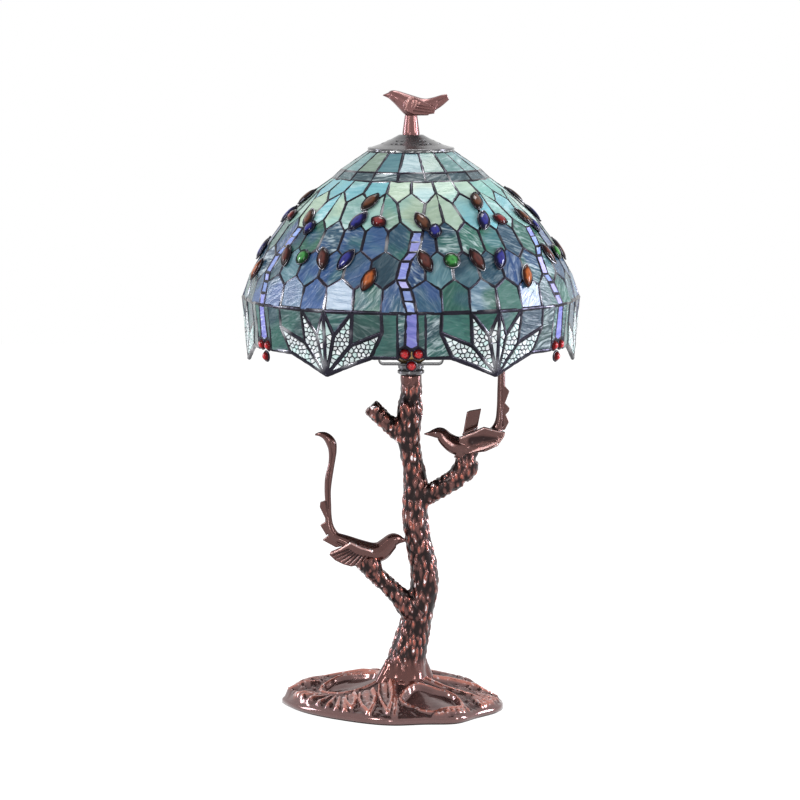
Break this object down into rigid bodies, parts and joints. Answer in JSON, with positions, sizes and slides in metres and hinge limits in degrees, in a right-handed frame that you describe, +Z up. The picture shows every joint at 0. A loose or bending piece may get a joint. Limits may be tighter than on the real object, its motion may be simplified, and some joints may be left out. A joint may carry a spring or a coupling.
{
  "type": "table lamp",
  "caption": "Table lamp with a domed leaded glass shade on a harp, carried by a cast tree stand with birds and an oval foot; the shade, finial, bulb and switch key turn.",
  "frame": {"origin": "on the surface that the foot rests on, under the middle of the shade", "axes": "+Z up along the shade's axis, -Y towards the front, +X to the right seen from the front"},
  "size_m": [0.31, 0.309, 0.5718],
  "materials": {
    "cast_bronze": "reddish brown bronze finish, glossy",
    "copper_bronze": "coppery brown finish",
    "dark_pewter": "dark pewter finish",
    "lead": "dark patinated solder",
    "felt": "felt",
    "steel": "plain",
    "brass": "plain",
    "black_plastic": "moulded",
    "insulator": "fibre",
    "bulb_glass": "frosted white",
    "mint_glass": "opalescent mint and aqua",
    "dark_teal_glass": "opalescent dark teal",
    "aqua_glass": "opalescent aqua",
    "sky_glass": "streaky sky blue",
    "blue_glass": "streaky blue and green",
    "deep_glass": "streaky deep blue",
    "violet_glass": "violet blue",
    "pale_glass": "pale mosaic",
    "ground_glass": "opalescent dark teal green",
    "red_glass": "red",
    "amber_glass": "amber brown",
    "cobalt_glass": "cobalt",
    "green_glass": "bright green",
    "brown_glass": "brownish red",
    "orange_glass": "orange"
  },
  "bodies": {
    "stand": {"foot": "cast_bronze", "felt_pad": "felt", "tie_plate": "steel", "base_screws": "steel", "cord_grommet": "black_plastic", "trunk": "cast_bronze", "left_branch": "cast_bronze", "right_branch": "cast_bronze", "branch_dowels": "steel", "left_bird": "copper_bronze", "right_bird": "copper_bronze", "neck_nipple": "steel", "neck_collar": "dark_pewter", "harp_saddle": "dark_pewter", "harp_loop": "dark_pewter", "harp_ferrules": "dark_pewter", "harp_stud": "brass", "seat_washer": "brass", "nipple_nut": "steel", "socket_cup": "brass", "socket_shell": "brass", "socket_sleeve": "insulator", "socket_core": "black_plastic", "socket_thread": "brass", "socket_contact": "brass"},
    "shade": {"vented_cap": "dark_pewter", "dome_came": "lead", "border_came": "lead", "crown_panes": "mint_glass", "band_panes": "dark_teal_glass", "flame_panes": "aqua_glass", "sky_panes": "sky_glass", "water_panes": "blue_glass", "deep_panes": "deep_glass", "stem_panes": "violet_glass", "bud_panes": "violet_glass", "petal_panes": "pale_glass", "ground_panes": "ground_glass", "berries": "red_glass", "amber_jewels": "amber_glass", "cobalt_jewels": "cobalt_glass", "red_jewels": "red_glass", "green_jewels": "green_glass", "brown_jewels": "brown_glass", "orange_jewels": "orange_glass"},
    "finial": {"finial_stem": "copper_bronze", "finial_insert": "brass", "finial_bird": "copper_bronze"},
    "bulb": {"bulb_envelope": "bulb_glass", "bulb_base": "steel", "bulb_insulator": "black_plastic", "bulb_contact": "brass"},
    "switch": {"switch_key": "black_plastic"}
  },
  "joints": [
    {"name": "shade_turn", "type": "hinge", "parent": "stand", "child": "shade", "pos_m": [0, 0, 0.5295], "axis": [0, 0, 1], "continuous": true},
    {"name": "finial_turn", "type": "hinge", "parent": "shade", "child": "finial", "pos_m": [0, 0, 0.535], "axis": [0, 0, 1], "continuous": true},
    {"name": "bulb_turn", "type": "hinge", "parent": "stand", "child": "bulb", "pos_m": [0, 0, 0.36], "axis": [0, 0, 1], "continuous": true},
    {"name": "switch_turn", "type": "hinge", "parent": "stand", "child": "switch", "pos_m": [0, -0.02, 0.346], "axis": [0, -1, 0], "continuous": true}
  ]
}
